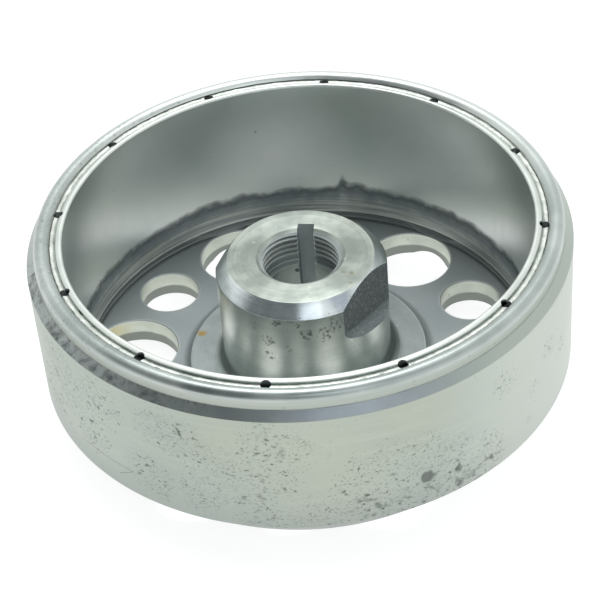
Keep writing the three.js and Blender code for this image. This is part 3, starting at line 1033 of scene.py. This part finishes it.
def build_hub():
    """The hub, with its thread, keyway and wrench flats cut from the turned shape."""
    section = softened([
        (BORE_FOOT_RADIUS, 0, 0.4 * MM),
        (FLANGE_RADIUS, 0, 0.3 * MM),
        (FLANGE_RADIUS, FLANGE_TOP),
        *arc(HUB_RADIUS + HUB_FILLET, FLANGE_TOP + HUB_FILLET, HUB_FILLET, 270, 180, 10),
        (HUB_RADIUS, HUB_TOP - HUB_CHAMFER, 0.3 * MM),
        (HUB_RADIUS - HUB_CHAMFER, HUB_TOP, 0.25 * MM),
        (COUNTERSINK_RADIUS, HUB_TOP, 0.12 * MM),
        (THREAD_MAJOR_RADIUS + 0.05 * MM, HUB_TOP - 0.75 * MM),
        (THREAD_MINOR_RADIUS, HUB_TOP - COUNTERSINK_DEPTH),
        (THREAD_MINOR_RADIUS, THREAD_FOOT, 0.08 * MM),
        (RELIEF_RADIUS, THREAD_FOOT - 0.6 * MM, 0.2 * MM),
        (RELIEF_RADIUS, BORE_TOP, 0.3 * MM),
        (BORE_TOP_RADIUS, BORE_TOP, 0.15 * MM),
    ])
    hub = as_object(revolve(section, HUB_STEPS), "turned_hub")
    subtract(hub, thread_cutter())
    subtract(hub, keyway_cutter())
    for angle in FLAT_ANGLES:
        subtract(hub, flat_cutter(angle))

    side, top, chamfer, flat, thread, bore, keyway, flange = range(8)

    def zone(face):
        x, y, z = face.center
        r = math.hypot(x, y)
        n = face.normal
        if z < 0.5 * MM and n.z < -0.7:
            return flange
        in_slot = abs(x) <= KEYWAY_WIDTH / 2 + 0.01 * MM and y > BORE_TOP_RADIUS - 0.1 * MM
        if in_slot and r < KEYWAY_FLOOR + 0.3 * MM and (abs(n.x) > 0.9 or n.y < -0.6):
            return keyway
        if r < BORE_FOOT_RADIUS + 0.8 * MM and z < BORE_TOP - 0.1 * MM and n.z > -0.9:
            return bore
        if r < RELIEF_RADIUS + 0.05 * MM and z < HUB_TOP - 0.5 * MM:
            return thread
        for angle in FLAT_ANGLES:
            a = math.radians(angle)
            along = x * math.cos(a) + y * math.sin(a)
            facing = n.x * math.cos(a) + n.y * math.sin(a)
            if along > FLAT_DISTANCE - 0.05 * MM and z > FLAT_FOOT - 5 * MM:
                plane = abs(along - FLAT_DISTANCE) < 0.02 * MM and facing > 0.99
                if plane or (r < HUB_RADIUS - 0.02 * MM and z < FLAT_FOOT + 2.5 * MM):
                    return flat
        if z > HUB_TOP - 0.1 * MM and n.z > 0.7:
            return top
        if z > HUB_TOP - HUB_CHAMFER - 0.1 * MM and r > COUNTERSINK_RADIUS + 0.1 * MM:
            return chamfer
        if r > HUB_RADIUS + HUB_FILLET * 0.8:
            return flange
        return side if r > COUNTERSINK_RADIUS + 0.1 * MM else top

    finish_piece(
        hub, "turned_hub", ["hub"],
        [
            turned_hub("hub_side", (0.77, 0.81, 0.76), (0.6, 0.645, 0.61), 0.26, 0.38),
            turned_hub("hub_face", (0.61, 0.65, 0.59), (0.33, 0.365, 0.335), 0.3, 0.46, 0.7),
            turned_hub("hub_chamfer", (0.86, 0.9, 0.91), (0.58, 0.63, 0.64), 0.18, 0.28, 0.6),
            forged_flat(),
            oily_thread(),
            turned_hub("shaft_bore", (0.62, 0.66, 0.63), (0.5, 0.54, 0.52), 0.3, 0.42),
            keyway_steel(),
            turned_hub("hub_flange", (0.42, 0.45, 0.445), (0.34, 0.37, 0.37), 0.4, 0.55),
        ],
        zone,
    )


def build_cover():
    """The sleeve over the magnets, with its foot and its lip rolled."""
    lip_r = COVER_BORE + COVER_LIP
    lip_z = COVER_TOP - COVER_LIP
    outer = COVER_BORE + COVER_THICKNESS
    lip_end = RETAINER_BORE - 0.03 * MM
    lip_drop = 0.3 * MM
    foot = SEAT_LEVEL + 0.12 * MM
    foot_roll = 0.28 * MM
    section = [
        (COVER_BORE - foot_roll, foot),
        (outer, foot),
        (outer, lip_z),
        (lip_r, COVER_TOP - COVER_THICKNESS),
        (lip_end, COVER_TOP - COVER_THICKNESS - lip_drop),
        *arc(lip_end - 0.1 * MM, COVER_TOP - lip_drop - 0.1 * MM, 0.1 * MM, 0, 70, 3),
        *arc(lip_r, lip_z, COVER_LIP, 74, 180, 12),
        (COVER_BORE, 40 * MM),
        (COVER_BORE, 30 * MM),
        (COVER_BORE, 20 * MM),
        (COVER_BORE, foot + 1.2 * MM),
        *arc(COVER_BORE - foot_roll + 0.3 * MM, foot + 0.45 * MM, 0.3 * MM, 120, 230, 5),
    ]
    cover = as_object(revolve(section, CUP_STEPS), "magnet_sleeve")
    subtract(cover, notch_cutter(COVER_TOP - 2 * MM, COVER_TOP + MM))
    sheet, lip = range(2)

    def zone(face):
        return lip if face.center.z > lip_z + 0.2 * MM else sheet

    finish_piece(cover, "magnet_sleeve", ["magnet_cover"],
                 [cover_sheet(), lip_sheet()], zone)


def notch_cutter(foot, top):
    """The drills that open the notches round the rim, from one height to another."""
    bm = bmesh.new()
    bmesh.ops.create_cone(bm, cap_ends=True, segments=24, radius1=NOTCH_RADIUS,
                          radius2=NOTCH_RADIUS, depth=top - foot)
    bmesh.ops.translate(bm, vec=(NOTCH_PITCH, 0, (foot + top) / 2), verts=bm.verts)
    return copied_round(bm, angles_round(NOTCH_COUNT))


def build_retainer():
    """The notched ring under the rolled rim, with a worn crown and a bitten inner edge."""
    outer = ring_high[0]
    top = ring_high[2]
    section = [
        (RETAINER_BORE, ring_low[2]),
        (outer, ring_low[2]),
        (outer, top),
        *((r * MM, top - drop * MM) for r, drop in RETAINER_CROWN),
        (RETAINER_BORE, top - 0.26 * MM),
    ]
    retainer = as_object(revolve(section, 2 * CUP_STEPS), "notched_ring")
    for vert in retainer.data.vertices:
        r = math.hypot(vert.co.x, vert.co.y)
        if r > 59.3 * MM or vert.co.z < top - 0.35 * MM:
            continue
        angle = math.atan2(vert.co.y, vert.co.x)
        dip = max(0, 0.25 + wander(angle, 7.9 + 40 * r / MM, 70))
        vert.co.z -= 0.1 * MM * dip
        if r < RETAINER_BORE + 0.1 * MM:
            bite = max(0, wander(angle, 1.7, 11) + wander(angle, 4.4, 60) - 0.45)
            push_out(vert, 0.4 * MM * bite)
    subtract(retainer, notch_cutter(ring_low[2] - MM, ring_high[2] + MM))
    finish_piece(retainer, "notched_ring", ["retaining_ring"],
                 [retainer_steel()])


def sealant_top(angle):
    """Height of the resin's ragged upper edge at an angle round the axis."""
    slow = 1.3 * wander(angle, 2.2, 2.2)
    ragged = 0.8 * wander(angle, 6.1, 9) + 0.2 * wander(angle, 9.4, 26)
    spike = 3.6 * math.exp(-((angle - SPIKE_ANGLE) / 0.02) ** 2)
    shoulder = 1.3 * math.exp(-((angle - SPIKE_ANGLE + 0.07) / 0.05) ** 2)
    return SEALANT_MEAN_TOP + (slow + ragged + spike + shoulder) * MM


def build_sealant():
    """The resin round the foot of the sleeve. Each vertex remembers its share of the height."""
    foot = sealant_low[2]
    bore = COVER_BORE - 0.01 * MM
    height = SEALANT_MEAN_TOP - foot
    section = [
        (bore - 0.42 * MM, foot),
        (bore, foot),
        (bore, SEALANT_MEAN_TOP),
        *((bore - inset * MM, foot + share * height) for inset, share in SEALANT_FACE),
    ]
    resin = as_object(revolve(section, 720), "smeared_resin")
    rise = resin.data.attributes.new("rise", "FLOAT", "POINT")
    for vert, mark in zip(resin.data.vertices, rise.data):
        angle = math.atan2(vert.co.y, vert.co.x)
        share = (vert.co.z - foot) / height
        mark.value = share
        vert.co.z = foot + share * (sealant_top(angle) - foot)
        if math.hypot(vert.co.x, vert.co.y) < bore - 0.03 * MM:
            lump = wander(angle, 7.7 + share, 20) + wander(angle, share * 3, 50)
            push_out(vert, 0.05 * MM * lump)
    finish_piece(resin, "smeared_resin", ["sealant_bead"], [potting_resin()],
                 sharp_angle=60)


def dress_hidden_pieces():
    """The magnets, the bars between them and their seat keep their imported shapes."""
    magnet_finish = sintered_magnet()
    nylon_finish = moulded_nylon()
    for name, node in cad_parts.items():
        if name.startswith("magnet_spacer") or name == "magnet_seat_ring":
            finish = nylon_finish
        elif name.startswith("magnet_") and name != "magnet_cover":
            finish = magnet_finish
        else:
            continue
        node.data.materials.clear()
        node.data.materials.append(finish)


build_cup()
build_hub()
build_cover()
build_retainer()
build_sealant()
dress_hidden_pieces()

# ---------------------------------------------------------------- studio

# Dim places in the room, seen from the flywheel: direction, inner and outer reach as cosines,
# and colour.
DIM_PLACES = (
    ((-0.38, -0.66, 0.64), 0.6, 0.88, (0.17, 0.183, 0.19)),
    ((0.62, -0.25, 0.74), 0.955, 0.992, (0.36, 0.41, 0.48)),
)
FLOOR_GLOW = 0.85                       # the white sweep is lit from within
FLOOR_DROP = 0.2 * MM                   # keeps the floor clear of the rear face


def build_floor():
    """The pale floor that the flywheel stands on."""
    bm = bmesh.new()
    bmesh.ops.create_grid(bm, x_segments=1, y_segments=1, size=3)
    bmesh.ops.translate(bm, vec=(0, 0, -FLOOR_DROP), verts=bm.verts)
    floor = as_object(bm, "studio_floor")
    white = Finish("studio_white", metallic=0.0)
    white.colour = (0.35, 0.35, 0.35)
    white.feed(white.shader.inputs["Emission Color"], (1, 1, 1))
    white.feed(white.shader.inputs["Emission Strength"], FLOOR_GLOW)
    floor.data.materials.append(white.surface(0.9))


def soft_light(name, angle, rise, distance, size, power, colour):
    """A square soft light that looks at the flywheel from an angle and a height in degrees."""
    light = bpy.data.lights.new(name, "AREA")
    light.shape = "SQUARE"
    light.size = size
    light.energy = power
    light.color = colour
    lamp = bpy.data.objects.new(name, light)
    a, e = math.radians(angle), math.radians(rise)
    spot = Vector((math.cos(a) * math.cos(e), math.sin(a) * math.cos(e), math.sin(e))) * distance
    lamp.location = spot
    lamp.rotation_euler = spot.to_track_quat("Z", "Y").to_euler()
    bpy.context.scene.collection.objects.link(lamp)


def build_world():
    """A pale room, with a dim doorway behind the viewer and a greyer corner beside it."""
    world = bpy.data.worlds.new("studio")
    world.use_nodes = True
    room = Nodes(world.node_tree)
    background = room.tree.nodes["Background"]
    direction = room.add("ShaderNodeTexCoord").outputs["Generated"]
    colour = (0.93, 0.96, 0.95)
    for place_direction, outer, inner, dim_colour in DIM_PLACES:
        towards = room.vector("DOT_PRODUCT", direction, place_direction, "Value")
        colour = room.blend(room.between(towards, outer, inner), colour, dim_colour)
    room.feed(background.inputs["Color"], colour)
    room.feed(background.inputs["Strength"], 0.95)
    bpy.context.scene.world = world


def build_camera():
    """The camera, turned round a point near the middle of the flywheel."""
    view_turn = 9.85                # degrees round from looking straight along +Y
    view_drop = 39.76               # degrees below the level
    view_roll = -4.89
    distance = 487.04 * MM
    aim = Vector((-0.99, -0.17, 26.09)) * MM
    camera_data = bpy.data.cameras.new("camera")
    camera_data.sensor_width = 36
    camera_data.lens = 119.38
    camera = bpy.data.objects.new("camera", camera_data)
    turn = (
        Matrix.Rotation(math.radians(view_turn), 4, "Z")
        @ Matrix.Rotation(math.radians(90 - view_drop), 4, "X")
        @ Matrix.Rotation(math.radians(view_roll), 4, "Z")
    )
    camera.matrix_world = Matrix.Translation(aim) @ turn @ Matrix.Translation((0, 0, distance))
    bpy.context.scene.collection.objects.link(camera)
    bpy.context.scene.camera = camera


build_floor()
build_world()
soft_light("overhead_light", angle=100, rise=70, distance=1.2, size=0.6, power=3.6,
           colour=(0.96, 0.99, 1.0))
soft_light("window_light", angle=-72, rise=46, distance=1.3, size=0.5, power=0.9,
           colour=(0.86, 0.93, 1.0))
build_camera()
bpy.context.scene.view_settings.view_transform = "Standard"
